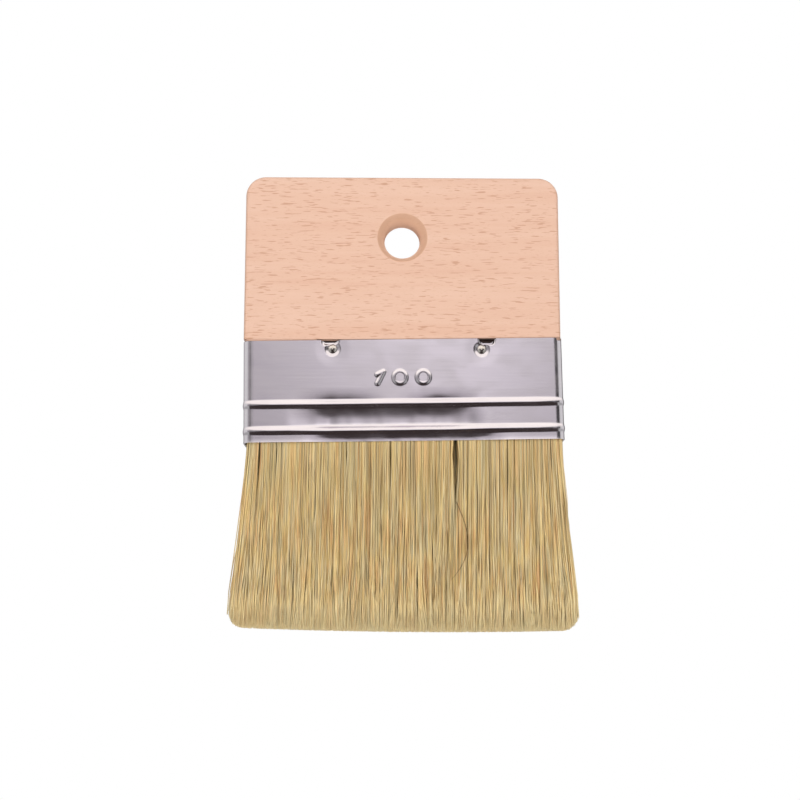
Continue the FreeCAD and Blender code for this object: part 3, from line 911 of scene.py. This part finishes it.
def strand_mesh(name, paths, shares, radius, rng, finish):
    """Thin tapered tubes along the paths, with their maps."""
    count, rings = paths.shape[:2]
    run = np.linspace(0, 1, rings)
    taper = 1 - TAPER * run - POINT_TAPER * smooth((run - POINT_START) / POINT_LENGTH)
    size = radius * rng.uniform(*THICKNESS_RANGE, count)[:, None] * taper
    turn = rng.uniform(0, 2 * math.pi, count)[:, None] + np.arange(SIDES) * 2 * math.pi / SIDES
    around = np.stack([np.cos(turn), np.sin(turn), np.zeros_like(turn)], axis=2)
    points = paths[:, :, None, :] + size[:, :, None, None] * around[:, None, :, :]
    numbers = np.arange(count * rings * SIDES).reshape(count, rings, SIDES)
    beside = np.roll(numbers, -1, axis=2)
    corners = [numbers[:, :-1], numbers[:, 1:], beside[:, 1:], beside[:, :-1]]
    quads = np.stack(corners, axis=3).reshape(-1, 4)
    caps = np.concatenate([numbers[:, 0, :], numbers[:, -1, ::-1]])
    piece = mesh_piece(name, points.reshape(-1, 3), quads.tolist() + caps.tolist(), finish)
    strand_map(piece.data, shares, count, rings, rng)
    return piece


def strand_map(mesh, shares, count, rings, rng):
    """u is the strand's place across the brush, a little mixed with its neighbours', and v its length."""
    middle = np.clip(0.5 + MAP_REACH * shares + rng.normal(0, MAP_MIX, count), *MAP_ENDS)
    sides = np.array([-MAP_HALF, MAP_HALF, 0.0])
    u = middle[:, None, None] + sides[None, None, :] + np.zeros((1, rings, 1))
    v = np.linspace(*MAP_ENDS, rings)[None, :, None] + np.zeros((count, 1, SIDES))
    corners = np.zeros(len(mesh.loops), dtype=np.int32)
    mesh.loops.foreach_get("vertex_index", corners)
    places = np.stack([u.reshape(-1), v.reshape(-1)], axis=1)[corners]
    layer = mesh.uv_layers.new(name="OFBake")
    layer.data.foreach_set("uv", places.reshape(-1).astype(np.float32))


def bend_with_head(piece):
    """Bakes the piece's placement into its mesh points."""
    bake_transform(piece)


def bristle_rows(finish):
    for number, row in enumerate(ROWS):
        rng = np.random.default_rng(SEED + number)
        paths, shares = strand_paths(row, rng)
        piece = strand_mesh(f"bristle_strands_{row}", paths, shares, STRAND_RADIUS, rng, finish)
        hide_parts(f"bristles_{row}", f"bristle_butts_{row}")
        bend_with_head(piece)


def stray_hair(finish):
    """One long dark bristle that lies across the front."""
    rng = np.random.default_rng(SEED)
    run = np.linspace(0, 1, HAIR_RINGS)
    x = HAIR_START[0] + HAIR_BULGE * np.sin(run * math.pi * HAIR_BULGE_TURN) - HAIR_HOOK * run**3
    y = HAIR_START[1] - HAIR_OUT * run
    z = MOUTH - HAIR_START[2] - HAIR_DROP * run
    path = np.stack([x, y, z], axis=1)[None]
    piece = strand_mesh("stray_hair", path, np.array([HAIR_SHARE]), HAIR_RADIUS, rng, finish)
    bend_with_head(piece)


# Carried-over nodes


def finish_nodes():
    """Gives the CAD nodes that are shown as they are their finishes."""
    finishes = {
        "handle_board": beech(),
        "ferrule_nails_front": nail_steel(),
        "setting_resin": resin(),
        "spacer_strip_front": strip_wood(),
    }
    finishes["ferrule_nails_back"] = finishes["ferrule_nails_front"]
    finishes["spacer_strip_back"] = finishes["spacer_strip_front"]
    for name, finish in finishes.items():
        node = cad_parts[name]
        for slot in node.material_slots:
            slot.material = finish


# Studio


def add_floor():
    """A wide pale disc well below the brush, out of the main camera's view."""
    made, shader, surface = material("floor")
    place = shader.add("ShaderNodeTexCoord").outputs["Object"]
    cloud = shader.noise(shader.scaled(place, (3, 3, 3)))
    tone = shader.ramp(cloud, [(0.3, colour(238, 238, 238)), (0.7, colour(244, 244, 244))])
    shader.put(surface.inputs["Base Color"], tone)
    surface.inputs["Roughness"].default_value = 0.9
    bpy.ops.mesh.primitive_circle_add(vertices=FLOOR_SIDES, radius=FLOOR_RADIUS * MM, fill_type="NGON")
    floor = bpy.context.object
    floor.name = "floor"
    floor.location = (0, 0, (TIPS - FLOOR_DROP) * MM)
    floor.data.materials.append(made)
    floor.visible_glossy = False


def add_light(name, place, size, power):
    """A soft square light aimed at the brush."""
    light = bpy.data.lights.new(name, "AREA")
    light.size = size
    light.energy = power
    lamp = bpy.data.objects.new(name, light)
    lamp.location = place
    lamp.rotation_euler = (middle_point() - Vector(place)).to_track_quat("-Z", "Y").to_euler()
    lamp.visible_camera = False
    lamp.visible_glossy = False
    bpy.context.scene.collection.objects.link(lamp)


def middle_point():
    low, high = CAD_BOX
    return (Vector(low) + Vector(high)) / 2


def room_above(shader, split):
    """The studio over the horizon: lighter upwards and in a band ahead, with grey far sides."""
    height = shader.math("MULTIPLY_ADD", split[2], 0.5, 0.5)
    wall = shader.ramp(height, [(place, [*look, 1]) for place, look in WALL_COLOURS])
    across = shader.math("MULTIPLY_ADD", split[0], *WALL_SPAN)
    band = shader.ramp(across, [(place, shade(level)) for place, level in WALL_LEVELS])
    wall = shader.mix(1.0, wall, band, blend="MULTIPLY")
    far = shader.remap(shader.math("ABSOLUTE", split[0]), *FAR_SIDES)
    wall = shader.mix(far, wall, shade(FAR_SIDE_LEVEL))
    return shader.mix(shader.remap(split[2], *CEILING), wall, [*CEILING_COLOUR, 1])


def room_below(shader, direction, split):
    """The studio's floor, dark in front of the brush."""
    inputs = {0: direction, 1: DARK_AIM}
    towards = shader.add("ShaderNodeVectorMath", inputs, operation="DOT_PRODUCT").outputs["Value"]
    ahead = shader.remap(shader.math("ABSOLUTE", split[0]), *reversed(DARK_EDGE))
    dark = shader.math("MULTIPLY", shader.remap(towards, *DARK_EDGE), ahead)
    return shader.mix(dark, shade(FLOOR_LEVEL), [*DARK_COLOUR, 1])


def with_panels(shader, split, studio):
    """The studio with the two dark panels that the folds and the ends of the beads mirror."""
    foot = shader.remap(split[2], *PANEL_FOOT)
    level = shader.math("MULTIPLY", foot, shader.remap(split[2], *PANEL_TOP))
    for inner, outer, density, look in PANELS:
        across = shader.math("MULTIPLY", shader.remap(split[0], *inner), shader.remap(split[0], *outer))
        panel = shader.math("MULTIPLY", across, shader.math("MULTIPLY", level, density))
        studio = shader.mix(panel, studio, [*look, 1])
    return studio


def add_world():
    """White for the camera, soft light for dull surfaces and a studio to be mirrored in the metal."""
    world = bpy.data.worlds.new("studio")
    bpy.context.scene.world = world
    world.use_nodes = True
    shader = Shader(world.node_tree)
    direction = shader.add("ShaderNodeTexCoord").outputs["Generated"]
    split = shader.parts(direction)
    horizon = shader.remap(split[2], *HORIZON)
    studio = shader.mix(horizon, room_below(shader, direction, split), room_above(shader, split))
    studio = with_panels(shader, split, studio)
    dull = shader.mix(shader.remap(split[2], *DULL_HEIGHTS), *[shade(level) for level in DULL_LEVELS])
    path = shader.add("ShaderNodeLightPath").outputs
    light = shader.mix(path["Is Glossy Ray"], dull, studio)
    light = shader.mix(path["Is Camera Ray"], light, [1, 1, 1, 1])
    background = shader.add("ShaderNodeBackground", {"Color": light, "Strength": 1.0})
    output = shader.add("ShaderNodeOutputWorld")
    shader.put(output.inputs["Surface"], background.outputs[0])


def add_camera():
    azimuth = math.radians(CAMERA_AZIMUTH)
    elevation = math.radians(CAMERA_ELEVATION)
    level = math.cos(elevation)
    towards = Vector((math.sin(azimuth) * level, -math.cos(azimuth) * level, math.sin(elevation)))
    camera = bpy.data.objects.new("camera", bpy.data.cameras.new("camera"))
    camera.data.lens = LENS
    camera.data.clip_start = CLIP_START * MM
    aim = middle_point() + Vector((AIM[0], 0, AIM[1])) * MM
    camera.location = aim + towards * CAMERA_DISTANCE * MM
    camera.rotation_euler = (-towards).to_track_quat("-Z", "Y").to_euler()
    bpy.context.scene.collection.objects.link(camera)
    bpy.context.scene.camera = camera


finish_nodes()
ferrule_piece(tinned_steel())
bristle_rows(bristle())
stray_hair(dark_hair())
add_floor()
add_world()
for lamp in LAMPS:
    add_light(*lamp)
add_camera()
bpy.context.scene.view_settings.view_transform = "Standard"
